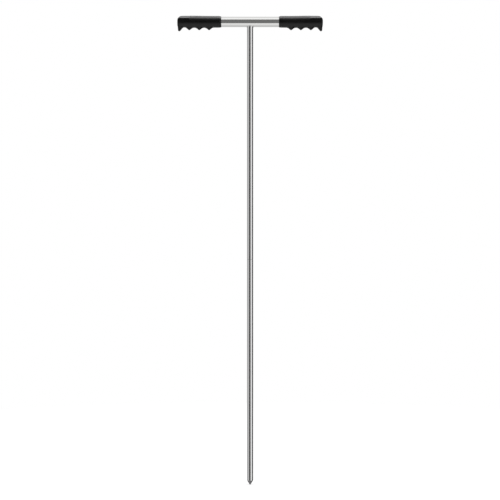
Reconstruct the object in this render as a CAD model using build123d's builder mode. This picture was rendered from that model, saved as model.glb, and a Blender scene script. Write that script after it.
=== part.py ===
from build123d import *
from math import asin, atan2, degrees, hypot, radians, tan
import os

# Soil probe: a T handle with two finger grips over a pointed rod in two screwed sections.
# Millimetres. The origin is the tip of the point, +Z runs up the rod, +X along the handle.

# Whole tool
total_height = 999.4  # tip of the point to the top of the grips' thumb pads
handle_width = 309.8  # over the closed ends of the two grips

# Handle tube
tube_d = 22.0
tube_wall = 1.5
tube_length = 289.0
tube_edge = 0.3  # deburred ends
tube_hole_clearance = 0.05  # radial, round the rod where it enters the tube's underside

# Rod sections
rod_d = 13.0
rod_edge = 0.2  # chamfer at the seam
rod_top_edge = 0.6  # chamfer on the end inside the tube
rod_inside_tube = 6.0  # how far the rod's end stands above the tube's axis
seam_height = 480.0  # top face of the lower section
point_height = 9.3
point_tip_radius = 1.5

# Screw joint: an M8 coarse stud, fixed in the lower section
thread_d = 8.0
thread_pitch = 1.25
thread_root_d = 6.5
thread_flank_angle = 30.0  # degrees, each side of the thread
thread_crest = 0.16  # width of the flat on top of the thread
thread_sink = 0.1  # how far the thread's ridge is rooted in the core
stud_end_chamfer = 0.6
stud_in_lower = 21.0
stud_in_upper = 20.0
lower_hole_clearance = 0.05  # radial, filled with thread lock
upper_hole_clearance = 0.3  # radial, over the outside of the thread
upper_hole_spare = 2.0  # empty depth above the stud
washer_thickness = 0.3
washer_outer_d = 12.2
washer_inner_d = 8.6

# Weld under the handle tube
weld_leg = 0.8
weld_round = 0.35

# Grips, measured from the handle's middle along X and outwards from the grip's own axis
grip_length = 93.6
grip_r = 12.4
grip_above_tube = 0.25  # the sleeve's outside is a little higher than its bore
grip_bore_clearance = 0.05  # radial
grip_inner_round = 0.8
grip_end_round = 3.0  # rim of the closed end, seen from above
grip_end_top_round = 11.0  # upper corner of the closed end, seen from the side
grip_end_face_r = 5.0  # the closed end is flat out to here, then leans in towards the hook

# Finger ridges and end hook, given by their sharp corners before these are rounded
finger_ridge_x = (87.5, 108.4, 129.6)
finger_ridge_depth = 18.4
finger_flank_angle = 40.0  # degrees, slope of the ridges
finger_ridge_round = 2.5
finger_valley_round = 8.1
finger_foot_round = 4.0  # where the first ridge leaves the plain sleeve
hook_x = 153.7
hook_depth = 23.8
hook_flank_angle = 50.0
hook_round = 2.7
hook_valley_round = 7.6
keel_half_width = 12.2  # the oval that bounds ridges and hook from the sides
keel_depth = 19.3

# Thumb pad on top of each grip
pad_inner_x = 128.9
pad_top = 12.45
pad_top_half_width = 5.0
pad_side_half_width = 12.35
pad_side_top = 6.15
pad_foot = 0.5  # rooted in the sleeve, this far above the grip's axis
pad_round = 0.5

# Outlines that trim each grip's end
trim_over = 2.0  # how far the pad, before trimming, and the outlines pass what they trim
trim_gap = 0.02  # between an outline and a flat or round side that it leaves alone

# Worked out from the sizes above
tube_r = tube_d / 2
rod_r = rod_d / 2
thread_r = thread_d / 2
thread_root_r = thread_root_d / 2
thread_height = thread_r - thread_root_r
thread_half_root = thread_crest / 2 + (thread_height + thread_sink) * tan(radians(thread_flank_angle))
grip_axis_height = total_height - pad_top
tube_axis_height = grip_axis_height - grip_above_tube
upper_rod_bottom = seam_height + washer_thickness
upper_rod_top = tube_axis_height + rod_inside_tube
stud_bottom = seam_height - stud_in_lower
stud_top = upper_rod_bottom + stud_in_upper
grip_outer_x = handle_width / 2
grip_inner_x = grip_outer_x - grip_length
tube_end_x = tube_length / 2

# Half angle of the point, whose sides touch the rounded tip
point_rise = point_height - point_tip_radius
point_half_angle = degrees(atan2(rod_r, point_rise) - asin(point_tip_radius / hypot(rod_r, point_rise)))

# Planes of the handle: across the tube, across the grips, and the grips' side view with Y downwards
tube_section = Plane(origin=(0, 0, tube_axis_height), x_dir=(0, 1, 0), z_dir=(1, 0, 0))
grip_section = Plane(origin=(0, 0, grip_axis_height), x_dir=(0, 1, 0), z_dir=(1, 0, 0))
grip_side = Plane(origin=(0, 0, grip_axis_height), x_dir=(1, 0, 0), z_dir=(0, 1, 0))
grip_axis = Axis((0, 0, grip_axis_height), (1, 0, 0))

os.makedirs("parts", exist_ok=True)


def save(piece, name):
    """Label a finished piece and write it to its own file."""
    piece.part.label = name
    export_step(piece.part, f"parts/{name}.step")
    print(name, "volume", round(piece.part.volume, 1), "valid", piece.part.is_valid)


# Lower rod: a solid bar with the point turned on its end and a hole for the stud in its top
with BuildPart() as lower_rod:
    with BuildSketch(Plane.XZ):
        with BuildLine():
            tip = CenterArc((0, point_tip_radius), point_tip_radius, -90, 90 - point_half_angle)
            Polyline(
                tip @ 1,
                (rod_r, point_height),
                (rod_r, seam_height - rod_edge),
                (rod_r - rod_edge, seam_height),
                (0, seam_height),
                tip @ 0,
            )
        make_face()
    revolve(axis=Axis.Z)
    with BuildSketch(Plane.XY.offset(seam_height)):
        Circle(thread_r + lower_hole_clearance)
    extrude(amount=-stud_in_lower, mode=Mode.SUBTRACT)
save(lower_rod, "lower_rod")

# Joint stud: a chamfered core with the thread's ridge wound on it
with BuildPart() as joint_stud:
    with BuildLine() as thread_path:
        Helix(
            pitch=thread_pitch,
            height=stud_top - stud_bottom - 2 * thread_pitch,
            radius=thread_root_r,
            center=(0, 0, stud_bottom + thread_pitch),
        )
    with BuildSketch(Plane(origin=thread_path.line @ 0, x_dir=(1, 0, 0), z_dir=thread_path.line % 0)):
        with BuildLine():
            Polyline(
                (-thread_sink, -thread_half_root),
                (thread_height, -thread_crest / 2),
                (thread_height, thread_crest / 2),
                (-thread_sink, thread_half_root),
                close=True,
            )
        make_face()
    sweep(path=thread_path.line, is_frenet=True)
    with BuildSketch(Plane.XZ):
        with BuildLine():
            Polyline(
                (0, stud_bottom),
                (thread_root_r - stud_end_chamfer, stud_bottom),
                (thread_root_r, stud_bottom + stud_end_chamfer),
                (thread_root_r, stud_top - stud_end_chamfer),
                (thread_root_r - stud_end_chamfer, stud_top),
                (0, stud_top),
                close=True,
            )
        make_face()
    revolve(axis=Axis.Z)
save(joint_stud, "joint_stud")

# Joint washer: thin and dark, a little smaller than the rod, between the two rod ends
with BuildPart() as joint_washer:
    with BuildSketch(Plane.XY.offset(seam_height)):
        Circle(washer_outer_d / 2)
        Circle(washer_inner_d / 2, mode=Mode.SUBTRACT)
    extrude(amount=washer_thickness)
save(joint_washer, "joint_washer")

# Upper rod: a solid bar from the seam into the handle tube, with a blind hole for the stud
with BuildPart() as upper_rod:
    with BuildSketch(Plane.XY.offset(upper_rod_bottom)):
        Circle(rod_r)
    extrude(amount=upper_rod_top - upper_rod_bottom)
    chamfer(upper_rod.edges().group_by(Axis.Z)[0], rod_edge)
    chamfer(upper_rod.edges().group_by(Axis.Z)[-1], rod_top_edge)
    with BuildSketch(Plane.XY.offset(upper_rod_bottom)):
        Circle(thread_r + upper_hole_clearance)
    extrude(amount=stud_in_upper + upper_hole_spare, mode=Mode.SUBTRACT)
save(upper_rod, "upper_rod")

# Handle tube: a straight tube with one hole in its underside, where the rod goes in
with BuildPart() as handle_tube:
    with BuildSketch(tube_section):
        Circle(tube_r)
    extrude(amount=tube_end_x, both=True)
    chamfer(handle_tube.edges().filter_by(GeomType.CIRCLE), tube_edge)
    with BuildSketch(tube_section):
        Circle(tube_r - tube_wall)
    extrude(amount=tube_end_x, both=True, mode=Mode.SUBTRACT)
    with BuildSketch(Plane.XY.offset(tube_axis_height)):
        Circle(rod_r + tube_hole_clearance)
    extrude(amount=-tube_d, mode=Mode.SUBTRACT)
save(handle_tube, "handle_tube")

# Tee weld: a fine bead in the corner between the rod and the tube's underside
with BuildPart() as tee_weld:
    with BuildSketch(Plane.XY.offset(tube_axis_height)):
        Circle(rod_r + weld_leg)
    extrude(amount=-tube_d)
    with BuildSketch(tube_section):
        Circle(tube_r + weld_leg)
    extrude(amount=tube_d, both=True, mode=Mode.INTERSECT)
    fillet(tee_weld.faces().sort_by(Axis.Z)[0].edges(), weld_round)
    with BuildSketch(tube_section):
        Circle(tube_r)
    extrude(amount=tube_d, both=True, mode=Mode.SUBTRACT)
    with BuildSketch(Plane.XY.offset(tube_axis_height)):
        Circle(rod_r)
    extrude(amount=-tube_d, mode=Mode.SUBTRACT)
save(tee_weld, "tee_weld")

# Outline of the finger ridges in the side view: a zigzag whose corners are rounded
finger_slope = tan(radians(finger_flank_angle))
hook_slope = tan(radians(hook_flank_angle))
first_foot_x = finger_ridge_x[0] - (finger_ridge_depth - grip_r) / finger_slope
zigzag = [(grip_inner_x + grip_inner_round, grip_r), (first_foot_x, grip_r)]
zigzag_rounds = [finger_foot_round]
for ridge_x, next_ridge_x in zip(finger_ridge_x, finger_ridge_x[1:]):
    half_gap = (next_ridge_x - ridge_x) / 2
    zigzag.append((ridge_x, finger_ridge_depth))
    zigzag.append((ridge_x + half_gap, finger_ridge_depth - half_gap * finger_slope))
    zigzag_rounds += [finger_ridge_round, finger_valley_round]
last_ridge_x = finger_ridge_x[-1]
hook_drop = hook_slope * (hook_x - last_ridge_x)
hook_valley_run = (hook_drop - hook_depth + finger_ridge_depth) / (finger_slope + hook_slope)
zigzag.append((last_ridge_x, finger_ridge_depth))
zigzag.append((last_ridge_x + hook_valley_run, finger_ridge_depth - finger_slope * hook_valley_run))
zigzag.append((hook_x, hook_depth))
zigzag.append((grip_outer_x, grip_end_face_r))
zigzag_rounds += [finger_ridge_round, hook_valley_round, hook_round]

# Finger ridges and hook: the outline turned about the grip's axis, kept where the oval keel reaches
with BuildPart() as finger_ridges:
    with BuildSketch(grip_side):
        with BuildLine():
            outline = FilletPolyline(*zigzag, radius=zigzag_rounds)
            Polyline(outline @ 1, (grip_outer_x, 0), (zigzag[0][0], 0), outline @ 0)
        make_face()
    revolve(axis=grip_axis)
    with BuildSketch(grip_section):
        Ellipse(keel_half_width, keel_depth)
        with Locations((0, keel_depth / 2)):
            Rectangle(2 * keel_half_width, keel_depth, mode=Mode.SUBTRACT)
    extrude(amount=handle_width, mode=Mode.INTERSECT)

# Thumb pad: a flat-topped block with sloping sides, sunk into the sleeve and running out over its end
with BuildPart() as thumb_pad:
    with BuildSketch(grip_section.offset(pad_inner_x)):
        with BuildLine():
            Polyline(
                (-pad_side_half_width, pad_foot),
                (-pad_side_half_width, pad_side_top),
                (-pad_top_half_width, pad_top),
                (pad_top_half_width, pad_top),
                (pad_side_half_width, pad_side_top),
                (pad_side_half_width, pad_foot),
                close=True,
            )
        make_face()
    extrude(amount=grip_outer_x + trim_over - pad_inner_x)
    fillet(thumb_pad.edges(), pad_round)

# Right grip: a sleeve with a closed end, ridges and a hook below and a thumb pad on top, whose end is then
# trimmed to its outlines in the side view and from above
with BuildPart() as right_grip:
    with BuildSketch(grip_section.offset(grip_inner_x)):
        Circle(grip_r)
    extrude(amount=grip_length)
    fillet(right_grip.edges().group_by(Axis.X)[0], grip_inner_round)
    add(finger_ridges.part)
    add(thumb_pad.part)
    with BuildSketch(grip_side) as side_outline:
        with Locations((grip_outer_x, -pad_top - trim_gap)):
            Rectangle(grip_length + trim_over, 3 * keel_depth, align=(Align.MAX, Align.MIN))
        upper_corner = side_outline.vertices().group_by(Axis.X)[-1].sort_by(Axis.Y)[0]
        fillet(upper_corner, grip_end_top_round)
    extrude(amount=2 * grip_r, both=True, mode=Mode.INTERSECT)
    with BuildSketch(Plane.XY.offset(grip_axis_height)) as plan_outline:
        with Locations((grip_outer_x, 0)):
            Rectangle(grip_length + trim_over, 2 * (grip_r + trim_gap), align=(Align.MAX, Align.CENTER))
        fillet(plan_outline.vertices().group_by(Axis.X)[-1], grip_end_round)
    extrude(amount=2 * keel_depth, both=True, mode=Mode.INTERSECT)
    with BuildSketch(tube_section.offset(grip_inner_x)):
        Circle(tube_r + grip_bore_clearance)
    extrude(amount=tube_end_x - grip_inner_x, mode=Mode.SUBTRACT)
save(right_grip, "right_grip")

# Left grip: the right grip's mirror image
with BuildPart() as left_grip:
    mirror(right_grip.part, about=Plane.YZ)
save(left_grip, "left_grip")
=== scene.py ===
# %% [markdown]
# # Dressing a soil probe
#
# The probe is a T-shaped hand tool: a polished cross tube with two black finger grips, and below it a slim
# polished rod in two screwed sections with a turned point. Its sizes, pieces and joint come from a packed
# frame that holds every piece as a plain solid. This lesson remakes each piece as a fine mesh exactly where
# the frame has it, gives every surface a finish, and sets up a white studio around it.

# %% Load the frame
from math import acos, asin, atan2, ceil, cos, hypot, pi, radians, sin, sqrt, tan

import bmesh
import bpy
from mathutils import Matrix, Vector


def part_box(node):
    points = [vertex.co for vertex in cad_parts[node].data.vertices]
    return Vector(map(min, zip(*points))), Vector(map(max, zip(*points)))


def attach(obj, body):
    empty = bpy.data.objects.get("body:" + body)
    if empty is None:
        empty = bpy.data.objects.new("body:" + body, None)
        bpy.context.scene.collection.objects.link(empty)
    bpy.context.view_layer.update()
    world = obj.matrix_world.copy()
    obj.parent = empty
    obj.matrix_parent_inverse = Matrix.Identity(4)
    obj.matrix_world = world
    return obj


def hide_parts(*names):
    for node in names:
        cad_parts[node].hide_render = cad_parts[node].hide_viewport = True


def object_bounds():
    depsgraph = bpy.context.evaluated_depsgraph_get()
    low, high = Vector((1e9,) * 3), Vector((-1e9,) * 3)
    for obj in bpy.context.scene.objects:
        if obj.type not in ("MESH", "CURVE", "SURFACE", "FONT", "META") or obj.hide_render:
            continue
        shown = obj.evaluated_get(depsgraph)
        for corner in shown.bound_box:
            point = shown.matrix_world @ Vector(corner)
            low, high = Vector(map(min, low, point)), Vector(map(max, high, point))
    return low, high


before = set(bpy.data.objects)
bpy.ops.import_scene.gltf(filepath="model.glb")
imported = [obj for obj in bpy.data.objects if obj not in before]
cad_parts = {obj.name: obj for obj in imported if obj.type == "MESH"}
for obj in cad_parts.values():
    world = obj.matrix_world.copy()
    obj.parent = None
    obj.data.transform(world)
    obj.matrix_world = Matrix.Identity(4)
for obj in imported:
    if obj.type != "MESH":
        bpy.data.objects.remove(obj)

cad_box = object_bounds()
mm = 0.001
print("frame pieces:", ", ".join(sorted(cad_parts)))

# %% [markdown]
# ## Measures from the frame
#
# Blender works in metres here, in the same frame as the solids: the tip of the point is the origin, Z runs
# up the rod and X along the handle. Reading the boxes of the solids keeps the pieces in step with them, so
# only the small shapes that a box can't tell, such as a rounding, are written down again below.

# %% Read the main sizes
lower_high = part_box("lower_rod")[1]
upper_low, upper_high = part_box("upper_rod")
stud_low, stud_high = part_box("joint_stud")
washer_low, washer_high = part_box("joint_washer")
tube_low, tube_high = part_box("handle_tube")
grip_low, grip_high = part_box("right_grip")

rod_r = lower_high.x
tube_r = tube_high.y
tube_axis_z = (tube_low.z + tube_high.z) / 2
grip_r = grip_high.y
print(f"rod {2 * rod_r / mm:.1f} mm, tube {2 * tube_r / mm:.1f} mm, grip {2 * grip_r / mm:.1f} mm across")

# %% [markdown]
# ## Camera
#
# The picture is a straight front view with very little perspective, which means a long lens from a few
# metres away. The handle is 145 pixels wide in it, which gives the width of the view at the tool, and the
# lens follows from that width and the distance. The tip of the point stands 15.5 pixels above the lower
# edge and the rod a trace to the right of the middle, which gives the camera's height and its place sideways.

# %% Place the camera
picture_pixels = 500
handle_pixels = 145.23
tip_pixels = 15.48
sideways_pixels = 0.08
metres_per_pixel = (cad_box[1].x - cad_box[0].x) / handle_pixels
view_width = picture_pixels * metres_per_pixel
camera_distance = 3.0
camera_height = (picture_pixels / 2 - tip_pixels) * metres_per_pixel
camera_side = -sideways_pixels * metres_per_pixel

camera_data = bpy.data.cameras.new("camera")
camera_data.sensor_width = 36.0
camera_data.lens = camera_data.sensor_width * camera_distance / view_width
camera_data.dof.use_dof = False
camera = bpy.data.objects.new("camera", camera_data)
camera.location = (camera_side, -camera_distance, camera_height)
camera.rotation_euler = (radians(90), 0, 0)
bpy.context.scene.collection.objects.link(camera)
bpy.context.scene.camera = camera
bpy.context.scene.view_settings.view_transform = "Standard"
print(f"lens {camera_data.lens:.1f} mm at {camera_distance} m")

# %% [markdown]
# ## Outlines
#
# Nearly every piece of this tool was turned, drawn or moulded round an axis. In Blender the same idea is a
# lathe: draw half of the outline as joined vertices, then spin it. A straight stretch of the outline is one
# edge, cut into shorter ones where a piece needs them. A rounded corner is an arc, and an arc is a small spin
# too: one vertex turned about the arc's centre.

# %% Outline helpers
arc_step = radians(12)
uncut = 1.0  # metres, longer than any straight of the tool


def draw_arc(bm, start, corner, before, after, rounding, gap):
    """Move a vertex from a corner to where its rounding starts, and spin it on to the arc's end."""
    half = before.angle(after) / 2
    turn = pi - 2 * half
    start.co = corner + before * rounding / tan(half)
    made = bmesh.ops.spin(
        bm,
        geom=[start],
        cent=corner + (before + after).normalized() * rounding / sin(half),
        axis=after.cross(before),
        angle=turn,
        steps=max(ceil(turn / arc_step), ceil(turn * rounding / gap)),
    )
    return made["geom_last"][0]


def draw_outline(bm, corners, closed=False, gap=uncut):
    """Join corners of (x, z) or (x, z, rounding) in the XZ plane, with no step longer than the gap."""
    places = [Vector((corner[0], 0, corner[1])) for corner in corners]
    first = last = None
    straight = []
    for index, place in enumerate(places):
        start = end = bm.verts.new(place)
        if len(corners[index]) > 2:
            before = (places[index - 1] - place).normalized()
            after = (places[(index + 1) % len(places)] - place).normalized()
            end = draw_arc(bm, start, place, before, after, corners[index][2], gap)
        if last:
            straight.append(bm.edges.new((last, start)))
        first = first or start
        last = end
    if closed:
        straight.append(bm.edges.new((last, first)))
    for edge in straight:
        cuts = int(edge.calc_length() / gap)
        if cuts:
            bmesh.ops.subdivide_edges(bm, edges=[edge], cuts=cuts)


print(f"arcs are drawn {2 * pi / arc_step:.0f} steps to the full circle, or finer")

# %% [markdown]
# ## Lathe
#
# A full spin turns an outline into a skin. The Screw modifier does the same on an object, but a bmesh spin
# leaves plain vertices that the next line can reshape. A point on the axis stays where it is while it turns,
# so it ends up as many points in one place. Those doubles are merged afterwards, faces that have shrunk to
# nothing are dropped, and the normals are recalculated, because a spin can leave a skin inside out.

# %% Lathe helpers
merge_gap = 0.0005 * mm


def close_skin(bm):
    """Merge doubled vertices, drop faces that have shrunk to nothing, and face the skin outwards."""
    bmesh.ops.remove_doubles(bm, verts=bm.verts[:], dist=merge_gap)
    bmesh.ops.dissolve_degenerate(bm, edges=bm.edges[:], dist=merge_gap)
    bmesh.ops.recalc_face_normals(bm, faces=bm.faces[:])


def spin_outline(bm, centre, axis, steps):
    """Turn everything drawn so far once round the axis into a closed skin that faces outwards."""
    bmesh.ops.spin(
        bm,
        geom=bm.verts[:] + bm.edges[:],
        cent=centre,
        axis=axis,
        angle=2 * pi,
        steps=steps,
        use_merge=True,
    )
    close_skin(bm)


print(f"points closer than {merge_gap / mm} mm become one")

# %% [markdown]
# ## From mesh to piece
#
# A finished mesh becomes an object that stands for its solid in the frame: it hides the solid and moves with
# the same body. All faces are shaded smooth, apart from edges that are sharper than a crease angle. The count
# of open edges tells whether the skin is closed: it should be 0.

# %% Piece helper
usual_crease = radians(35)


def finish_piece(name, bm, material, body, crease=usual_crease):
    """Make the bmesh an object that stands for the node of the same name and rides on its body."""
    mesh = bpy.data.meshes.new(name)
    open_edges = sum(not edge.is_manifold for edge in bm.edges)
    bm.to_mesh(mesh)
    bm.free()
    mesh.materials.append(material)
    mesh.shade_smooth()
    mesh.set_sharp_from_angle(angle=crease)
    piece = bpy.data.objects.new(name + "_skin", mesh)
    bpy.context.scene.collection.objects.link(piece)
    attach(piece, body)
    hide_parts(name)
    print(f"{piece.name}: {len(mesh.polygons)} faces, {open_edges} open edges")
    return piece


print(f"edges over {usual_crease / pi * 180:.0f} degrees stay hard")

# %% [markdown]
# ## Noise for the finishes
#
# No steel or vinyl is alike all over, and noise is where that unevenness comes from. It needs no picture and
# no unwrapping, and it is as crisp up close as from afar. It is read on Object coordinates, which are the
# frame's own metres, with a stretch for each axis. A high number packs the noise close along its axis and a
# low one draws it out, so very different numbers turn the noise into lines.

# %% Noise helpers
noise_middle = (0.3, 0.7)


def feed(tree, source, socket):
    """Give a socket either a link from another socket or a plain value."""
    if isinstance(source, bpy.types.NodeSocket):
        tree.links.new(source, socket)
    else:
        socket.default_value = source


def stretched_noise(tree, stretch, detail, roughness):
    """Noise on Object coordinates, multiplied by a stretch for each axis."""
    place = tree.nodes.new("ShaderNodeTexCoord")
    scale = tree.nodes.new("ShaderNodeVectorMath")
    scale.operation = "MULTIPLY"
    tree.links.new(place.outputs["Object"], scale.inputs[0])
    feed(tree, stretch, scale.inputs[1])
    noise = tree.nodes.new("ShaderNodeTexNoise")
    noise.inputs["Scale"].default_value = 1.0
    noise.inputs["Detail"].default_value = detail
    noise.inputs["Roughness"].default_value = roughness
    tree.links.new(scale.outputs["Vector"], noise.inputs["Vector"])
    return noise.outputs["Fac"]


def spread(tree, value, low, high):
    """Map the middle of a noise, where nearly all of it lies, to the range from low to high."""
    mapped = tree.nodes.new("ShaderNodeMapRange")
    mapped.inputs["From Min"].default_value = noise_middle[0]
    mapped.inputs["From Max"].default_value = noise_middle[1]
    feed(tree, low, mapped.inputs["To Min"])
    feed(tree, high, mapped.inputs["To Max"])
    tree.links.new(value, mapped.inputs["Value"])
    return mapped.outputs["Result"]


print("noise is spread from its values", noise_middle)

# %% [markdown]
# ## Shared surface effects
#
# Two effects appear in more than one finish, so each is a node group. Fine lines are the traces of grinding
# or drawing: noise stretched so far along one direction that it becomes lines. Soft haze is the uneven sheen
# that handling and polishing leave. Both put out values that vary over the surface, and each material mixes
# them in its own measure.

# %% Node groups
stretch_input = ("Stretch", "NodeSocketVector", (1.0, 1.0, 1.0))


def new_group(name, inputs, outputs):
    """Start a shader node group with float or vector inputs and float outputs."""
    group = bpy.data.node_groups.new(name, "ShaderNodeTree")
    for label, kind, value in inputs:
        socket = group.interface.new_socket(name=label, in_out="INPUT", socket_type=kind)
        socket.default_value = value
    for label in outputs:
        group.interface.new_socket(name=label, in_out="OUTPUT", socket_type="NodeSocketFloat")
    return group, group.nodes.new("NodeGroupInput"), group.nodes.new("NodeGroupOutput")


fine_lines, lines_in, lines_out = new_group(
    "fine_lines",
    [
        stretch_input,
        ("Lowest Roughness", "NodeSocketFloat", 0.1),
        ("Highest Roughness", "NodeSocketFloat", 0.2),
    ],
    ["Height", "Roughness"],
)
lines = stretched_noise(fine_lines, lines_in.outputs["Stretch"], detail=5.0, roughness=0.6)
line_roughness = spread(
    fine_lines, lines, lines_in.outputs["Lowest Roughness"], lines_in.outputs["Highest Roughness"]
)
fine_lines.links.new(lines, lines_out.inputs["Height"])
fine_lines.links.new(line_roughness, lines_out.inputs["Roughness"])

soft_haze, haze_in, haze_out = new_group(
    "soft_haze", [stretch_input, ("Amount", "NodeSocketFloat", 0.03)], ["Haze"]
)
cloud = stretched_noise(soft_haze, haze_in.outputs["Stretch"], detail=3.0, roughness=0.5)
haze = spread(soft_haze, cloud, 0.0, haze_in.outputs["Amount"])
soft_haze.links.new(haze, haze_out.inputs["Haze"])
print("node groups:", fine_lines.name, soft_haze.name)

# %% [markdown]
# ## Building a finish
#
# Every finish is a Principled shader. A value that is the same all over is set on the shader's own socket,
# and only what varies over the surface comes through nodes: a group, a sum of two values, or a bump that lets
# a height tilt the surface.

# %% Finish helpers
def new_material(name, **values):
    """A material with one Principled shader, its plain values set on the shader's own sockets."""
    material = bpy.data.materials.new(name)
    material.use_nodes = True
    shader = material.node_tree.nodes["Principled BSDF"]
    for label, value in values.items():
        shader.inputs[label.replace("_", " ")].default_value = value
    return material, material.node_tree, shader


def add_group(tree, group, **values):
    """Place a node group in a material with its own values."""
    node = tree.nodes.new("ShaderNodeGroup")
    node.node_tree = group
    for label, value in values.items():
        node.inputs[label.replace("_", " ")].default_value = value
    return node


def add_values(tree, first, second):
    """The sum of two value sockets."""
    total = tree.nodes.new("ShaderNodeMath")
    total.operation = "ADD"
    tree.links.new(first, total.inputs[0])
    tree.links.new(second, total.inputs[1])
    return total.outputs["Value"]


def add_bump(tree, shader, height, distance):
    """Let a height of so many metres tilt the surface."""
    bump = tree.nodes.new("ShaderNodeBump")
    bump.inputs["Distance"].default_value = distance
    bump.inputs["Strength"].default_value = 1.0
    tree.links.new(height, bump.inputs["Height"])
    tree.links.new(bump.outputs["Normal"], shader.inputs["Normal"])


print("finish helpers are ready")

# %% [markdown]
# ## Polished steel
#
# The steel is bright polished stainless. The rods were ground between wheels, which leaves rings too fine to
# see one by one, so a rod mirrors its surroundings in crisp upright stripes. The tube was drawn through a
# die and buffed, which leaves lines along its length. Lines this fine are no shape to be modelled: a faint
# bump and an uneven roughness give what they do to the mirror.

# %% Ground rod and drawn tube
steel_haze_stretch = (60.0, 60.0, 25.0)
steel_haze = 0.015
steel_colour = (0.70, 0.70, 0.70, 1.0)
ground_finish = {
    "colour": steel_colour,
    "stretch": (60.0, 60.0, 9000.0),
    "roughness": (0.07, 0.10),
    "depth": 0.00015 * mm,
}


def lined_steel(name, colour, stretch, roughness, depth):
    """Steel with fine lines of that depth along one direction, and a little haze in its sheen."""
    material, tree, shader = new_material(name, Base_Color=colour, Metallic=1.0)
    marks = add_group(
        tree, fine_lines, Stretch=stretch, Lowest_Roughness=roughness[0], Highest_Roughness=roughness[1]
    )
    hazy = add_group(tree, soft_haze, Stretch=steel_haze_stretch, Amount=steel_haze)
    sheen = add_values(tree, marks.outputs["Roughness"], hazy.outputs["Haze"])
    tree.links.new(sheen, shader.inputs["Roughness"])
    add_bump(tree, shader, marks.outputs["Height"], depth)
    return material


ground_rod = lined_steel("ground_rod", **ground_finish)
drawn_tube = lined_steel(
    "drawn_tube",
    colour=(0.70, 0.70, 0.69, 1.0),
    stretch=(25.0, 7000.0, 7000.0),
    roughness=(0.06, 0.09),
    depth=0.00008 * mm,
)
print("steel:", ground_rod.name, drawn_tube.name)

# %% [markdown]
# ## Two finishes on one piece
#
# A change of finish needs no second piece. Object coordinates tell a point's place, so a short ramp along one
# axis goes from 0 to 1 where the finish changes, and mixes two colours or adds to the roughness. The ramp
# reads the distance from the origin, whatever its sign, so it works alike on the two mirrored grips.

# %% Ramp and colour mix
def axis_ramp(tree, axis, low, high, at_low, at_high):
    """A value that goes from one level to another between two distances from the origin along an axis."""
    place = tree.nodes.new("ShaderNodeTexCoord")
    parts = tree.nodes.new("ShaderNodeSeparateXYZ")
    tree.links.new(place.outputs["Object"], parts.inputs["Vector"])
    distance = tree.nodes.new("ShaderNodeMath")
    distance.operation = "ABSOLUTE"
    tree.links.new(parts.outputs[axis], distance.inputs[0])
    ramp = tree.nodes.new("ShaderNodeMapRange")
    ramp.inputs["From Min"].default_value = low
    ramp.inputs["From Max"].default_value = high
    ramp.inputs["To Min"].default_value = at_low
    ramp.inputs["To Max"].default_value = at_high
    tree.links.new(distance.outputs["Value"], ramp.inputs["Value"])
    return ramp.outputs["Result"]


def colour_sockets(sockets):
    """The colour sockets among those of a Mix node, which has sockets of the same name for other kinds."""
    return [socket for socket in sockets if socket.type == "RGBA"]


def mix_colours(tree, share, first, second):
    """A colour between two, by a value that varies over the surface."""
    mix = tree.nodes.new("ShaderNodeMix")
    mix.data_type = "RGBA"
    tree.links.new(share, mix.inputs["Factor"])
    for socket, colour in zip(colour_sockets(mix.inputs), (first, second)):
        socket.default_value = colour
    return colour_sockets(mix.outputs)[0]


print("ramp and colour mix are ready")

# %% [markdown]
# ## Point with a painted darker reflection
#
# The turned point is another surface of the same bar. It is hardened and left as it came from the lathe, so
# it is duller than the ground bar. Its colour is painted darker than the bar's: a painted reflection,
# standing in for the darker reflection that the point shows. The two finishes meet at the point's shoulder.

# %% Finish of the pointed rod
point_height = 9.3 * mm
# painted reflection: the point's colour is darker than the bar's, to stand in for the darker reflection it
# shows
painted_dark_reflection_colour = (0.215, 0.215, 0.22, 1.0)
hardened_dulling = 0.4
finish_edge = (point_height - 0.3 * mm, point_height + 0.1 * mm)

pointed_rod = lined_steel("pointed_rod", **ground_finish)
point_tree = pointed_rod.node_tree
point_shader = point_tree.nodes["Principled BSDF"]
bar_share = axis_ramp(point_tree, "Z", *finish_edge, at_low=0.0, at_high=1.0)
# the painted darker reflection is mixed into the colour below the shoulder
point_colour = mix_colours(point_tree, bar_share, painted_dark_reflection_colour, steel_colour)
point_tree.links.new(point_colour, point_shader.inputs["Base Color"])
bar_sheen = point_shader.inputs["Roughness"].links[0].from_socket
dulling = axis_ramp(point_tree, "Z", *finish_edge, at_low=hardened_dulling, at_high=0.0)
point_tree.links.new(add_values(point_tree, bar_sheen, dulling), point_shader.inputs["Roughness"])
print("point:", pointed_rod.name)

# %% [markdown]
# ## Small finishes
#
# Three small pieces have finishes of their own. The stud's thread is plain machined steel, the weld bead was
# dressed with an abrasive and has scratches in every direction, and the washer is hard dark fibre, whose
# strands show as a fleck in its colour. All three use the fine lines again, with other numbers.

# %% Thread, weld and washer
stud_steel = lined_steel(
    "stud_steel",
    colour=(0.55, 0.55, 0.56, 1.0),
    stretch=(90.0, 90.0, 12000.0),
    roughness=(0.22, 0.32),
    depth=0.0006 * mm,
)
dressed_weld = lined_steel(
    "dressed_weld",
    colour=(0.60, 0.60, 0.59, 1.0),
    stretch=(3000.0, 3000.0, 3000.0),
    roughness=(0.20, 0.32),
    depth=0.004 * mm,
)

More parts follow.
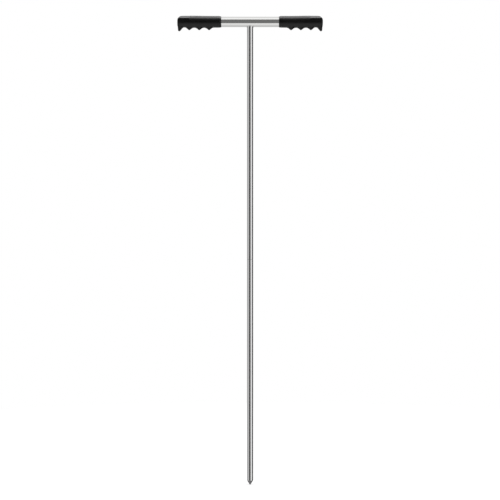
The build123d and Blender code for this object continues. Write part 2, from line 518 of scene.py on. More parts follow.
fibre_colour = (0.035, 0.035, 0.035, 1.0)
fleck_colour = (0.085, 0.082, 0.08, 1.0)
strand_depth = 0.01 * mm
dark_fibre, fibre_tree, fibre_shader = new_material("dark_fibre", Specular_IOR_Level=0.4)
strands = add_group(
    fibre_tree, fine_lines, Stretch=(900.0, 2600.0, 9000.0), Lowest_Roughness=0.6, Highest_Roughness=0.75
)
fleck = mix_colours(fibre_tree, strands.outputs["Height"], fibre_colour, fleck_colour)
fibre_tree.links.new(fleck, fibre_shader.inputs["Base Color"])
fibre_tree.links.new(strands.outputs["Roughness"], fibre_shader.inputs["Roughness"])
add_bump(fibre_tree, fibre_shader, strands.outputs["Height"], strand_depth)
print("small finishes:", stud_steel.name, dressed_weld.name, dark_fibre.name)

# %% [markdown]
# ## Black vinyl
#
# The grips are soft black vinyl. It is nearly black all through, so what shows is its sheen: a broad satin
# highlight, a little uneven where hands have polished it, broken up by the fine pebbled grain of the mould.
# The grain is too small to be modelled, so it is a bump. A smooth ring at each lip shines a little more, and
# a ramp along the handle finds it.

# %% Finish of the grips
vinyl_dark = (0.0014, 0.0014, 0.0014, 1.0)
vinyl_pale = (0.0026, 0.0026, 0.0026, 1.0)
vinyl_roughness = 0.35
vinyl_wear = 0.04
grain_size = 0.45 * mm
grain_depth = 0.005 * mm
lip_ring = 7.4 * mm
ring_end_x = grip_low.x + lip_ring
ring_edge = 0.3 * mm
ring_polish = 0.05

black_vinyl, vinyl_tree, vinyl_shader = new_material("black_vinyl", Specular_IOR_Level=0.3)
handling = add_group(vinyl_tree, soft_haze, Stretch=(90.0, 140.0, 140.0), Amount=1.0)
vinyl_colour = mix_colours(vinyl_tree, handling.outputs["Haze"], vinyl_dark, vinyl_pale)
vinyl_tree.links.new(vinyl_colour, vinyl_shader.inputs["Base Color"])
satin = spread(vinyl_tree, handling.outputs["Haze"], vinyl_roughness, vinyl_roughness + vinyl_wear)
polish = axis_ramp(vinyl_tree, "X", ring_end_x, ring_end_x + ring_edge, -ring_polish, 0.0)
vinyl_tree.links.new(add_values(vinyl_tree, satin, polish), vinyl_shader.inputs["Roughness"])
grains_per_metre = 1 / grain_size
grain = stretched_noise(vinyl_tree, (grains_per_metre,) * 3, detail=2.0, roughness=0.5)
add_bump(vinyl_tree, vinyl_shader, grain, grain_depth)
print("vinyl:", black_vinyl.name)

# %% [markdown]
# ## Lower rod
#
# The lower section is one solid bar: a conical point turned on its end, a small chamfer at the seam, and a
# hole for the joint stud in its top. A cylinder with an extruded end would come close, but an outline of ten
# corners holds the rounded tip, the chamfer and the hole in one list. Two of the corners, a millimetre from
# the shoulder and from the seam, keep the shading of the long straight side free from the turned ends. The
# arc of the tip is a hair smaller than its full size, so that the outline still starts with a short flat.

# %% Turn the lower rod
lathe_steps = 128
point_tip_r = 1.5 * mm
tip_arc_share = 0.999
shoulder_round = 0.25 * mm
rod_edge = 0.2 * mm
hold = 1.0 * mm
stud_r = stud_high.x
lower_hole_clearance = 0.05 * mm
lower_hole_r = stud_r + lower_hole_clearance
seam_z = lower_high.z

point_rise = point_height - point_tip_r
point_half_angle = atan2(rod_r, point_rise) - asin(point_tip_r / hypot(rod_r, point_rise))
tip_flat = point_tip_r * tan((pi / 2 - point_half_angle) / 2)

bm = bmesh.new()
draw_outline(
    bm,
    [
        (0, 0),
        (tip_flat, 0, tip_arc_share * point_tip_r),
        (rod_r, point_height, shoulder_round),
        (rod_r, point_height + hold),
        (rod_r, seam_z - rod_edge - hold),
        (rod_r, seam_z - rod_edge),
        (rod_r - rod_edge, seam_z),
        (lower_hole_r, seam_z),
        (lower_hole_r, stud_low.z),
        (0, stud_low.z),
    ],
)
spin_outline(bm, (0, 0, 0), (0, 0, 1), lathe_steps)
finish_piece("lower_rod", bm, pointed_rod, "lower_section")

# %% [markdown]
# ## Joint stud
#
# A short stud is locked in the top of the lower rod, and the upper rod screws down on it. A thread is one
# small tooth carried round and up at the same time, which in Blender is a spin with a step along its axis.
# One turn is spun, and copies of it are stacked a pitch apart. The stack starts two turns below the stud
# and ends above it, so that the next step can cut both ends clean.

# %% Wind the stud's thread
thread_pitch = 1.25 * mm
thread_root_r = 3.25 * mm
thread_crest = 0.16 * mm
thread_flank_angle = radians(30)
thread_flank = (stud_r - thread_root_r) * tan(thread_flank_angle)
thread_round = 0.05 * mm
steps_per_turn = 48

tooth_low = stud_low.z - 2 * thread_pitch
tooth_high = tooth_low + thread_pitch
root_flat = (thread_pitch - thread_crest) / 2 - thread_flank
turns = ceil((stud_high.z - tooth_low) / thread_pitch) + 1

bm = bmesh.new()
draw_outline(
    bm,
    [
        (thread_root_r, tooth_low),
        (thread_root_r, tooth_low + root_flat, thread_round),
        (stud_r, tooth_low + root_flat + thread_flank, thread_round),
        (stud_r, tooth_high - root_flat - thread_flank, thread_round),
        (thread_root_r, tooth_high - root_flat, thread_round),
        (thread_root_r, tooth_high),
    ],
)
bmesh.ops.spin(
    bm,
    geom=bm.verts[:] + bm.edges[:],
    cent=(0, 0, 0),
    axis=(0, 0, 1),
    dvec=(0, 0, thread_pitch / steps_per_turn),
    angle=2 * pi,
    steps=steps_per_turn,
)
one_turn = bm.verts[:] + bm.edges[:] + bm.faces[:]
for turn in range(1, turns):
    copy = bmesh.ops.duplicate(bm, geom=one_turn)["geom"]
    points = [item for item in copy if isinstance(item, bmesh.types.BMVert)]
    bmesh.ops.translate(bm, verts=points, vec=(0, 0, turn * thread_pitch))
close_skin(bm)
print(f"thread: {turns} turns of {thread_pitch / mm} mm")

# %% [markdown]
# A flat cut at each end drops what is too long, and a face fills the rim that the cut leaves. Points that
# stand outside a cone at either end are then drawn in, which gives the chamfer that helps a thread to start.

# %% Cut and chamfer the stud
stud_end_r = 2.65 * mm

for end_z, outwards in ((stud_low.z, -1), (stud_high.z, 1)):
    cut = bmesh.ops.bisect_plane(
        bm,
        geom=bm.verts[:] + bm.edges[:] + bm.faces[:],
        plane_co=(0, 0, end_z),
        plane_no=(0, 0, outwards),
        clear_outer=True,
    )
    rim = [item for item in cut["geom_cut"] if isinstance(item, bmesh.types.BMEdge)]
    bmesh.ops.edgeloop_fill(bm, edges=rim)
for vert in bm.verts:
    radius = hypot(vert.co.x, vert.co.y)
    allowed = stud_end_r + min(vert.co.z - stud_low.z, stud_high.z - vert.co.z)
    if radius > allowed:
        vert.co.xy *= allowed / radius
close_skin(bm)
finish_piece("joint_stud", bm, stud_steel, "lower_section")

# %% [markdown]
# ## Joint washer
#
# The dark hairline across the rod is read as a thin fibre washer between the two rod ends, set back a little
# from their edges. A disc with a hole and a Bevel modifier would do. With the lathe at hand it is simpler to
# draw its section, a flat box with softened corners, and spin it into a ring.

# %% Turn the washer
washer_inner_r = 4.3 * mm
washer_edge = 0.06 * mm

bm = bmesh.new()
draw_outline(
    bm,
    [
        (washer_inner_r, washer_low.z, washer_edge),
        (washer_high.x, washer_low.z, washer_edge),
        (washer_high.x, washer_high.z, washer_edge),
        (washer_inner_r, washer_high.z, washer_edge),
    ],
    closed=True,
)
spin_outline(bm, (0, 0, 0), (0, 0, 1), lathe_steps)
finish_piece("joint_washer", bm, dark_fibre, "washer")

# %% [markdown]
# ## Upper rod
#
# The upper section is the same bar stock, with a blind hole for the stud at the seam and a broken edge on the
# end that stands inside the handle tube. It is turned in the same way as the lower rod.

# %% Turn the upper rod
rod_top_edge = 0.6 * mm
upper_hole_clearance = 0.3 * mm
upper_hole_spare = 2.0 * mm
upper_hole_r = stud_r + upper_hole_clearance
upper_hole_top = stud_high.z + upper_hole_spare

bm = bmesh.new()
draw_outline(
    bm,
    [
        (0, upper_hole_top),
        (upper_hole_r, upper_hole_top),
        (upper_hole_r, upper_low.z),
        (rod_r - rod_edge, upper_low.z),
        (rod_r, upper_low.z + rod_edge),
        (rod_r, upper_low.z + rod_edge + hold),
        (rod_r, upper_high.z - rod_top_edge - hold),
        (rod_r, upper_high.z - rod_top_edge),
        (rod_r - rod_top_edge, upper_high.z),
        (0, upper_high.z),
    ],
)
spin_outline(bm, (0, 0, 0), (0, 0, 1), lathe_steps)
finish_piece("upper_rod", bm, ground_rod, "upper_section")

# %% [markdown]
# ## Handle tube
#
# The cross tube is a length of drawn tube with deburred ends and one hole in its underside for the rod. The
# wall is an outline spun about the tube's own axis. A loop on each side of the hole's place keeps the cut
# faces short, so that the long mirror surface on both sides stays even.

# %% Spin the tube
tube_wall = 1.5 * mm
tube_edge = 0.3 * mm
hole_margin = 12 * mm
tube_bore_r = tube_r - tube_wall
tube_outside = [
    (tube_low.x, tube_r - tube_edge),
    (tube_low.x + tube_edge, tube_r),
    (-hole_margin, tube_r),
    (hole_margin, tube_r),
    (tube_high.x - tube_edge, tube_r),
    (tube_high.x, tube_r - tube_edge),
]
tube_inside = [
    (tube_high.x, tube_bore_r),
    (hole_margin, tube_bore_r),
    (-hole_margin, tube_bore_r),
    (tube_low.x, tube_bore_r),
]

bm = bmesh.new()
draw_outline(bm, [(x, tube_axis_z - radius) for x, radius in tube_outside + tube_inside], closed=True)
spin_outline(bm, (0, 0, tube_axis_z), (1, 0, 0), lathe_steps)
print(f"tube blank: {len(bm.faces)} faces")

# %% [markdown]
# A round hole in a round wall has a saddle-shaped rim, which is hard to draw and easy to cut. The drill is a
# closed cylinder as wide as the hole, and a Boolean modifier takes it away from the tube.

# %% Cut the hole for the rod
tube_hole_clearance = 0.05 * mm
tube_hole_r = rod_r + tube_hole_clearance


def cut_away(bm, cutter):
    """Take the volume of a second bmesh away from the first, with an applied Boolean modifier."""
    objects = []
    for name, source in (("blank", bm), ("cutter", cutter)):
        mesh = bpy.data.meshes.new(name)
        source.to_mesh(mesh)
        objects.append(bpy.data.objects.new(name, mesh))
        bpy.context.scene.collection.objects.link(objects[-1])
    blank, tool = objects
    boolean = blank.modifiers.new("hole", "BOOLEAN")
    boolean.operation = "DIFFERENCE"
    boolean.solver = "EXACT"
    boolean.object = tool
    result = bpy.data.meshes.new_from_object(blank.evaluated_get(bpy.context.evaluated_depsgraph_get()))
    bm.clear()
    bm.from_mesh(result)
    cutter.free()
    for used in objects:
        bpy.data.objects.remove(used)


drill = bmesh.new()
bmesh.ops.create_cone(
    drill,
    cap_ends=True,
    segments=lathe_steps,
    radius1=tube_hole_r,
    radius2=tube_hole_r,
    depth=2 * tube_r,
    matrix=Matrix.Translation((0, 0, tube_axis_z - tube_r)),
)
cut_away(bm, drill)
close_skin(bm)
finish_piece("handle_tube", bm, drawn_tube, "upper_section")

# %% [markdown]
# ## Tee weld
#
# A fine bead joins the rod to the tube. Bevelling the joint would fuse the two into one mesh, so the bead is
# a piece of its own. In section it is a small fillet with a rounded face. Spinning that section round the
# rod gives a flat ring, and each point is then raised to the underside of the tube, which drapes the ring
# over it like a saddle. A slow ripple is left over from how a bead is laid, drop by drop.

# %% Lay the weld bead
weld_leg = 0.8 * mm
weld_shoulder = weld_leg / 2
weld_round = 0.35 * mm
weld_drops = 44
weld_ripple = 0.03 * mm
weld_steps = 264

bm = bmesh.new()
draw_outline(
    bm,
    [
        (rod_r, 0),
        (rod_r + weld_leg, 0),
        (rod_r + weld_leg, -weld_shoulder, weld_round),
        (rod_r + weld_shoulder, -weld_leg, weld_round),
        (rod_r, -weld_leg),
    ],
    closed=True,
)
spin_outline(bm, (0, 0, 0), (0, 0, 1), weld_steps)
for vert in bm.verts:
    turn = atan2(vert.co.y, vert.co.x)
    out = hypot(vert.co.x, vert.co.y)
    fullness = min(-vert.co.z, out - rod_r) / weld_leg
    swell = weld_ripple * fullness * cos(weld_drops * turn)
    saddle_z = tube_axis_z - sqrt(tube_r**2 - vert.co.y**2)
    vert.co.xy *= (out + swell) / out
    vert.co.z += saddle_z - swell
close_skin(bm)
finish_piece("tee_weld", bm, dressed_weld, "upper_section")

# %% [markdown]
# ## Finger ridges
#
# Each grip is a moulded vinyl sleeve with a closed end: plain on top, with three finger ridges and an end
# hook below. Sculpting could give such a soft form by eye, but a drawn one can be measured and corrected. It
# starts from one line, half of the sleeve's section through its underside. The fingers' part of it is a
# zigzag of two slopes, whose corners are rounded into ridges and hollows. All depths are measured down from
# the grip's axis.

# %% Draw the finger zigzag
ridge_x = [87.5 * mm, 108.4 * mm, 129.6 * mm]
ridge_depth = 18.5 * mm
ridge_slope = tan(radians(40))
ridge_round = 2.5 * mm
valley_round = 9.8 * mm
foot_round = 10.0 * mm
hook_x = 153.2 * mm
hook_depth = 24.1 * mm
hook_slope = tan(radians(50))
hook_round = 2.7 * mm
hook_valley_round = 6.4 * mm
hook_drop = hook_slope * (hook_x - ridge_x[2])
hook_valley_run = (hook_drop - hook_depth + ridge_depth) / (ridge_slope + hook_slope)
hook_valley_x = ridge_x[2] + hook_valley_run


def finger_zigzag():
    """Corners of the ridges and hollows as (x, depth, rounding), from the plain sleeve to the end hook."""
    foot_x = ridge_x[0] - (ridge_depth - grip_r) / ridge_slope
    zigzag = [(foot_x, grip_r, foot_round)]
    for first, second in zip(ridge_x, ridge_x[1:]):
        half_gap = (second - first) / 2
        zigzag.append((first, ridge_depth, ridge_round))
        zigzag.append((first + half_gap, ridge_depth - half_gap * ridge_slope, valley_round))
    zigzag.append((ridge_x[2], ridge_depth, ridge_round))
    zigzag.append((hook_valley_x, ridge_depth - hook_valley_run * ridge_slope, hook_valley_round))
    zigzag.append((hook_x, hook_depth, hook_round))
    return zigzag


fingers = finger_zigzag()
print(f"fingers: {len(fingers)} corners, hook hollow at {hook_valley_x / mm:.1f} mm")

# %% [markdown]
# ## Grip outline
#
# The whole line runs from the bottom of the bore out over the lip, which tapers towards the tube, and over
# the fine groove behind its ring. It follows the fingers and goes up the closed end to a small dimple that
# the mould's gate left. The bore is a line of its own, because its long straight needs no cuts.

# %% Join the grip's outline
bore_clearance = 0.05 * mm
bore_r = tube_r + bore_clearance
bore_end_x = tube_high.x
lip_x = grip_low.x
lip_drop = 1.3 * mm
lip_run = 3.2 * mm
lip_round = 7.0 * mm
lip_edge_round = 0.04 * mm
groove = 0.2 * mm
groove_round = 0.1 * mm
end_x = grip_high.x
end_face_r = 5.0 * mm
end_face_round = 6.0 * mm
dimple_r = 2.4 * mm
dimple_depth = 0.25 * mm
dimple_round = 0.2 * mm

bore = [(bore_end_x, 0), (bore_end_x, bore_r), (lip_x, bore_r)]
lip = [
    (lip_x, bore_r),
    (lip_x, grip_r - lip_drop, lip_edge_round),
    (lip_x + lip_run, grip_r, lip_round),
    (ring_end_x - groove, grip_r, groove_round),
    (ring_end_x, grip_r - groove, groove_round),
    (ring_end_x + groove, grip_r, groove_round),
]
closed_end = [
    (end_x, end_face_r, end_face_round),
    (end_x, dimple_r, dimple_round),
    (end_x - dimple_depth, dimple_r - dimple_depth, dimple_round),
    (end_x - dimple_depth, 0),
]
grip_outside = lip + fingers + closed_end
print(f"grip outline: {len(bore) + len(grip_outside)} corners, {(end_x - lip_x) / mm:.1f} mm long")

# %% [markdown]
# ## Top of the grip
#
# Spinning the outline makes a sleeve that has the ridges all the way round, and a second pass reshapes its
# points by their direction from the axis. Three steps say where a point goes. The first is for the upper
# half of the sleeve, which swells a little towards the heel of the hand and then turns into a thumb pad
# with a flat top, two sloping facets and upright sides.

# %% Sleeve and thumb pad
top_swell = 0.5 * mm
swell_x = (85 * mm, 125 * mm)
pad_x = 127.8 * mm
pad_ramp = 2.4 * mm
pad_top = 12.3 * mm
pad_top_half = 4.6 * mm
pad_side_top = 6.4 * mm
pad_top_round = 1.0 * mm
pad_edge_round = 0.15 * mm
pad_slope = Vector((pad_top - pad_side_top, grip_r - pad_top_half)).normalized()
pad_slope_distance = pad_slope.dot((grip_r, pad_side_top))
tiny = 1e-9


def ease(value):
    """A smooth step from 0 to 1, flat at both ends."""
    value = min(max(value, 0.0), 1.0)
    return value * value * (3 - 2 * value)


def soft_low(first, second, blend):
    """The lower of two lengths, with a rounded change from one to the other."""
    mix = max(blend - abs(first - second), 0.0) / blend
    return min(first, second) - mix * mix * blend / 4


def pad_reach(side, up):
    """How far the thumb pad's facets stand from the grip's axis in one direction."""
    to_top = pad_top / max(up, tiny)
    to_slope = pad_slope_distance / max(pad_slope.x * side + pad_slope.y * up, tiny)
    to_side = grip_r / max(side, tiny)
    return soft_low(soft_low(to_top, to_slope, pad_top_round), to_side, pad_edge_round)


def plain_reach(x, side, up):
    """How far the grip without its fingers stands from its axis at one place, in one direction."""
    if up <= 0:
        return grip_r
    sleeve = grip_r + top_swell * up * ease((x - swell_x[0]) / (swell_x[1] - swell_x[0]))
    return sleeve + (pad_reach(side, up) - sleeve) * ease((x - pad_x) / pad_ramp)


print(f"top of the pad: {plain_reach(end_x, 0, 1) / mm:.2f} mm above the grip's axis")

# %% [markdown]
# ## End of the grip
#
# Seen from the front, the end face rises straight from the hook and then curves back over the top, alike
# across the whole width of the grip, and its edges are rounded. A point beyond the last finger hollow is
# found along a ray from inside the end: it goes to where the ray meets the sleeve or the end face, whichever
# comes first.

# %% Curved end face
end_curve = 12.0 * mm
end_roof = 13.0 * mm
end_side_blend = 5.0 * mm
end_top_blend = 0.8 * mm
ring_margin = 1.0 * mm


def end_reach(run, rise):
    """How many steps of a run and a rise it takes from the last finger hollow to the end face."""
    length = end_x - hook_valley_x
    step = Vector((run, max(rise, 0.0)))
    centre = Vector((length - end_curve, end_roof - end_curve))
    steps = min(length / max(step.x, tiny), end_roof / max(step.y, tiny))
    hit = steps * step
    if hit.x > centre.x and hit.y > centre.y:
        along = step.dot(centre)
        short = centre.length_squared - end_curve**2
        steps = (along + sqrt(max(along**2 - step.length_squared * short, 0.0))) / step.length_squared
    return steps


def plain_outline(x, depth, side, up):
    """The point of the outline without fingers that goes with a point of the finger outline."""
    reach = plain_reach(x, side, up)
    if x < ring_end_x + ring_margin:
        return x, min(depth, reach)
    if x <= hook_valley_x:
        return x, reach
    if depth < dimple_r + dimple_depth:
        return x, depth
    ray = Vector((x - hook_valley_x, depth)).normalized()
    blend = end_side_blend + (end_top_blend - end_side_blend) * max(up, 0.0) ** 2
    hit = soft_low(reach / max(ray.y, tiny), end_reach(ray.x, ray.y * up), blend) * ray
    return hook_valley_x + hit.x, hit.y


print(f"end face: {end_reach(1, 0) / mm:.1f} mm beyond the last finger hollow")

# %% [markdown]
# ## Underside of the grip
#
# Straight down a point keeps its place on the finger outline. Towards the sides the ridges and the hook sink
# into the sleeve along the two straight flanks of a keel. The tube lies a little lower than the grip's axis,
# so the bore sinks by that much, and the lip less and less towards the outside of the sleeve. The line where
# the mould's halves met is a hair's height along the middle.

# %% Keel, bore and parting line
grip_above_tube = 0.25 * mm
grip_axis_z = tube_axis_z + grip_above_tube
keel_apex = 21.5 * mm
keel_round = 2.5 * mm
keel_flank_turn = acos(grip_r / keel_apex)
parting_height = 0.05 * mm
parting_fade = 1.0 * mm
on_middle = 1e-4
near = 0.01 * mm


def keel_share(side, down):
    """How much of the fingers' depth shows in one direction: all straight down, none above the flanks."""
    turn = atan2(side, down)
    if turn >= keel_flank_turn:
        return 0.0
    to_flank = grip_r / cos(keel_flank_turn - turn)
    to_crest = ridge_depth / down
    return (soft_low(to_flank, to_crest, keel_round) - grip_r) / (ridge_depth - grip_r)


def shape_grip_point(point):
    """Move one point of the spun sleeve to its place on the grip."""
    x = point.x
    depth = hypot(point.y, point.z - grip_axis_z)
    if depth < tiny:
        return point
    side = point.y / depth
    down = (grip_axis_z - point.z) / depth
    in_bore = depth < bore_r + near and x < bore_end_x + near
    in_lip = depth < grip_r - near and x < ring_end_x - groove
    if in_bore or in_lip:
        sink = grip_above_tube * (grip_r - depth) / (grip_r - bore_r)
        return Vector((x, point.y, point.z - sink))
    plain_x, plain_depth = plain_outline(x, depth, abs(side), -down)
    share = keel_share(abs(side), down)
    x = plain_x + (x - plain_x) * share
    depth = plain_depth + (depth - plain_depth) * share
    if abs(side) < on_middle:
        depth += parting_height * ease((depth - bore_r) / parting_fade)
    return Vector((x, side * depth, grip_axis_z - down * depth))


print(f"the keel's flanks meet the sleeve {keel_flank_turn / pi * 180:.0f} degrees from straight down")

# %% [markdown]
# ## Two grips
#
# With the outline and the shaping in hand, the right grip is one spin and one pass over its points. The left
# one is its mirror image: a copy scaled by -1 along the handle, which turns its faces inside out until its
# normals are recalculated. The grips' forms should look soft, so only sharper edges count as creases.

# %% Spin, shape and mirror the grip
grip_steps = 240
station_gap = 0.55 * mm
grip_crease = radians(50)

bm = bmesh.new()
for corners, gap in ((bore, uncut), (grip_outside, station_gap)):
    draw_outline(bm, [(corner[0], grip_axis_z - corner[1], *corner[2:]) for corner in corners], gap=gap)
spin_outline(bm, (0, 0, grip_axis_z), (1, 0, 0), grip_steps)
for vert in bm.verts:
    vert.co = shape_grip_point(vert.co)
close_skin(bm)

mirrored = bm.copy()
bmesh.ops.scale(mirrored, vec=(-1, 1, 1), verts=mirrored.verts[:])
close_skin(mirrored)
grips = [
    finish_piece("right_grip", bm, black_vinyl, "upper_section", crease=grip_crease),
    finish_piece("left_grip", mirrored, black_vinyl, "upper_section", crease=grip_crease),
]

# %% [markdown]
# ## Floor finish
#
# A plain white floor carries the point. Its diffuse part takes the tool's shadow, and a little glow, shown to
# the camera only, lifts the rest of it to the white of the background. It is clear from below, so that the
# underside of the tool can be looked at.

# %% White floor
white = (1.0, 1.0, 1.0, 1.0)
floor_colour = (0.9, 0.9, 0.9, 1.0)
floor_glow = 0.5

floor_material, floor_tree, floor_shader = new_material(
    "white_floor", Base_Color=floor_colour, Roughness=0.9, Specular_IOR_Level=0.0, Emission_Color=white
)
floor_path = floor_tree.nodes.new("ShaderNodeLightPath")
glow = floor_tree.nodes.new("ShaderNodeMath")
glow.operation = "MULTIPLY"
glow.inputs[1].default_value = floor_glow
floor_tree.links.new(floor_path.outputs["Is Camera Ray"], glow.inputs[0])
floor_tree.links.new(glow.outputs["Value"], floor_shader.inputs["Emission Strength"])

clear = floor_tree.nodes.new("ShaderNodeBsdfTransparent")
side_seen = floor_tree.nodes.new("ShaderNodeNewGeometry")
one_sided = floor_tree.nodes.new("ShaderNodeMixShader")
floor_tree.links.new(side_seen.outputs["Backfacing"], one_sided.inputs["Fac"])
floor_tree.links.new(floor_shader.outputs["BSDF"], one_sided.inputs[1])
floor_tree.links.new(clear.outputs["BSDF"], one_sided.inputs[2])
floor_tree.links.new(one_sided.outputs["Shader"], floor_tree.nodes["Material Output"].inputs["Surface"])
print("floor finish:", floor_material.name)

# %% [markdown]
# ## Floor
#
# The floor is one round face under the tip. It is left out of reflections, because polished steel this close
# would mirror nothing but floor.

# %% Lay the floor
floor_radius = 1.6
floor_sides = 96

bm = bmesh.new()
bmesh.ops.create_circle(bm, cap_ends=True, segments=floor_sides, radius=floor_radius)
bmesh.ops.recalc_face_normals(bm, faces=bm.faces[:])
floor_mesh = bpy.data.meshes.new("floor")
bm.to_mesh(floor_mesh)
bm.free()
floor_mesh.materials.append(floor_material)
floor = bpy.data.objects.new("floor", floor_mesh)
floor.visible_glossy = False
bpy.context.scene.collection.objects.link(floor)
print("floor normal:", tuple(floor_mesh.polygons[0].normal))

# %% [markdown]
# ## White surroundings
#
# The background is plain white. The world shows strength 1 to the camera and to mirrors, and lights matt
# surfaces at a plain lower level that leaves room for the lamps. Sampling of the world as a lamp is off, so
# that a glossy surface sees just what a mirror would see.

# %% Set the world
plain_level = 0.55
world = bpy.data.worlds.new("studio")
world.use_nodes = True
world.cycles.sampling_method = "NONE"
bpy.context.scene.world = world
world_tree = world.node_tree
background = world_tree.nodes["Background"]
background.inputs["Color"].default_value = white
world_path = world_tree.nodes.new("ShaderNodeLightPath")
shown = world_path.outputs["Is Camera Ray"]
for label in ("Is Glossy Ray", "Is Transmission Ray"):
    shown = add_values(world_tree, shown, world_path.outputs[label])
level = world_tree.nodes.new("ShaderNodeMapRange")
level.inputs["To Min"].default_value = plain_level
level.inputs["To Max"].default_value = 1.0
world_tree.links.new(shown, level.inputs["Value"])
world_tree.links.new(level.outputs["Result"], background.inputs["Strength"])
print("world:", world.name)

# %% [markdown]
# ## Reflection cards
#
# Polished steel has almost no look of its own: it shows the studio. A photographer stands cards around it,
# and each dark or bright stripe on the metal is a card. A panorama of a studio could stand in for them, but
# a card can be moved and toned until its stripe is right. A card here is a sheet that glows with an even
# tone, where white is 1, and that only reflections see.

# %% Card helper
def stage_card(name, bm, tone):
    """Make a bmesh a glowing card that only reflections see."""
    material = bpy.data.materials.new(name)
    material.use_nodes = True
    material.cycles.emission_sampling = "NONE"
    nodes = material.node_tree.nodes
    nodes.remove(nodes["Principled BSDF"])
    light = nodes.new("ShaderNodeEmission")
    light.inputs["Strength"].default_value = tone
    material.node_tree.links.new(light.outputs["Emission"], nodes["Material Output"].inputs["Surface"])
    mesh = bpy.data.meshes.new(name)
    bm.to_mesh(mesh)
    bm.free()
    mesh.materials.append(material)
    card = bpy.data.objects.new(name, mesh)
    card.visible_camera = False
    card.visible_diffuse = False
    card.visible_transmission = False
    card.visible_shadow = False
    bpy.context.scene.collection.objects.link(card)
    print(f"{name}: tone {tone}")


print("card helper is ready")

# %% [markdown]
# ## Two kinds of card
#
# The round rod gathers everything near the horizon into upright stripes, so its cards are patches between two
# compass angles. The tube lies across the view and only sees a narrow belt that runs over the top and under
# the floor, so its cards are strips of that belt. Both start as a point or a line on the camera's side and
# are spun into place. All cards are far away, so that the stripes run evenly along the metal.

# %% Horizon and belt
card_distance = 100.0
belt_distance = 95.0
card_rows = 8
card_columns = 24
raising_axis = (-1, 0, 0)


def raise_all(bm, height):
    """Turn everything drawn so far up from the camera's horizon by a height in degrees."""
    bmesh.ops.rotate(bm, verts=bm.verts[:], matrix=Matrix.Rotation(-radians(height), 3, "X"))


def horizon_card(name, compass, height, tone):
    """A patch between two compass angles from the camera's side and two heights, in degrees."""
    bm = bmesh.new()
    bm.verts.new((0, -card_distance, 0))
    raise_all(bm, height[0])
    climb = radians(height[1] - height[0])
    bmesh.ops.spin(bm, geom=bm.verts[:], axis=raising_axis, angle=climb, steps=card_rows)
    bmesh.ops.rotate(bm, verts=bm.verts[:], matrix=Matrix.Rotation(radians(compass[0]), 3, "Z"))
    sweep = radians(compass[1] - compass[0])
    bmesh.ops.spin(
        bm, geom=bm.verts[:] + bm.edges[:], axis=(0, 0, 1), angle=sweep, steps=card_columns
    )
    stage_card(name, bm, tone)


def belt_card(name, side, height, tone):
    """A strip between two side angles and two heights, in degrees, which may pass overhead."""
    bm = bmesh.new()
    left, right = [belt_distance * tan(radians(angle)) for angle in side]
    draw_outline(bm, [(left, 0), (right, 0)], gap=card_distance)
    bmesh.ops.translate(bm, verts=bm.verts[:], vec=(0, -belt_distance, 0))
    raise_all(bm, height[0])
    climb = radians(height[1] - height[0])
    bmesh.ops.spin(bm, geom=bm.verts[:] + bm.edges[:], axis=raising_axis, angle=climb, steps=card_columns)
    stage_card(name, bm, tone)


print(f"horizon cards stand at {card_distance} m, belt cards at {belt_distance} m")

# %% [markdown]
# ## The set of cards
#
# From left to right round the rod: greys behind and to the left, black in front, white left open, and black
# to the right. The belt gives the tube its bright upper side, its dark middle and its pale lower side. The
# satin grips see wide parts of the room at once, and a dark wall above and below the camera keeps their
# fronts black. Each card has its compass or side angles, its heights and its tone.

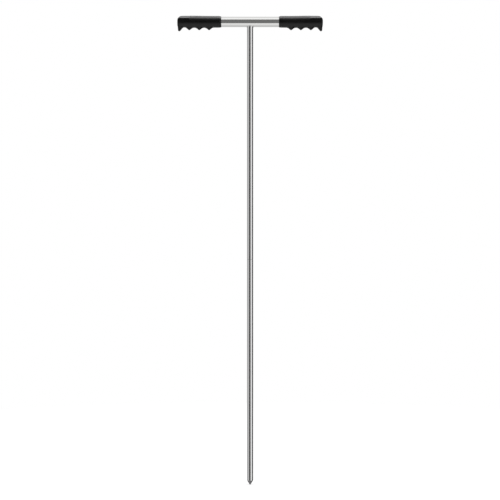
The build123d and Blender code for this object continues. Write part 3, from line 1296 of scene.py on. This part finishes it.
# %% Hang the cards
horizon_card("grey_card_behind", compass=(-172, -88), height=(-70, 16), tone=0.5)
horizon_card("grey_card_left", compass=(-88, -36), height=(-70, 16), tone=0.68)
horizon_card("black_card_front", compass=(-36, 19), height=(-16, 16), tone=0.0)
horizon_card("black_card_right", compass=(82, 172), height=(-70, 16), tone=0.03)
horizon_card("dark_wall_high", compass=(-60, 60), height=(16, 48), tone=0.02)
horizon_card("dark_wall_low", compass=(-36, 40), height=(-35, -16), tone=0.2)
belt_card("belt_behind", side=(-9, 9), height=(103, 160), tone=0.85)
belt_card("belt_overhead", side=(-9, 9), height=(48, 103), tone=1.2)
belt_card("belt_camera_side", side=(-6, 6), height=(-35, 48), tone=0.216)
belt_card("belt_below", side=(-9, 9), height=(-160, -89), tone=0.75)

# %% [markdown]
# ## Floor lamps
#
# Two square softboxes hang over the handle, one beyond each grip. They light the floor and put the tool's
# shadow on it, and they are kept out of reflections, because the steel already has its cards.

# %% Hang the floor softboxes
aim = Vector((0, 0, tube_axis_z))
floor_light_side = 0.65
floor_light_depth = 0.3
floor_light_height = 2.2
floor_light_size = (0.5, 0.5)
floor_light_radiance = 4.0


def hang_softbox(name, place, size, radiance):
    """An area lamp that faces the middle of the handle, with a brightness where white is 1."""
    lamp_data = bpy.data.lights.new(name, "AREA")
    lamp_data.shape = "RECTANGLE"
    lamp_data.size, lamp_data.size_y = size
    lamp_data.energy = radiance * size[0] * size[1] * pi
    lamp = bpy.data.objects.new(name, lamp_data)
    lamp.location = place
    lamp.rotation_euler = (aim - lamp.location).to_track_quat("-Z", "Y").to_euler()
    lamp.visible_camera = False
    bpy.context.scene.collection.objects.link(lamp)
    print(f"{name}: {lamp_data.energy:.1f} W")
    return lamp


for name, side in (("softbox_left", -floor_light_side), ("softbox_right", floor_light_side)):
    place = (side, floor_light_depth, floor_light_height)
    floor_light = hang_softbox(name, place, floor_light_size, floor_light_radiance)
    floor_light.visible_glossy = False

# %% [markdown]
# ## Grip lamp
#
# A third, wide softbox hangs almost straight overhead for the grips alone: light linking names the pieces
# that a lamp may light. The satin vinyl catches it as the pale sheen along the top of each grip, and the
# steel doesn't see it.

# %% Hang the grip softbox
grip_light_turn = radians(95.5)
grip_light_distance = 1.5
grip_light_size = (2.35, 1.3)
grip_light_radiance = 4.1

grip_light_arm = Vector((0, -cos(grip_light_turn), sin(grip_light_turn))) * grip_light_distance
grip_light = hang_softbox("grip_softbox", aim + grip_light_arm, grip_light_size, grip_light_radiance)
lit_pieces = bpy.data.collections.new("lit_by_grip_softbox")
for grip in grips:
    lit_pieces.objects.link(grip)
grip_light.light_linking.receiver_collection = lit_pieces
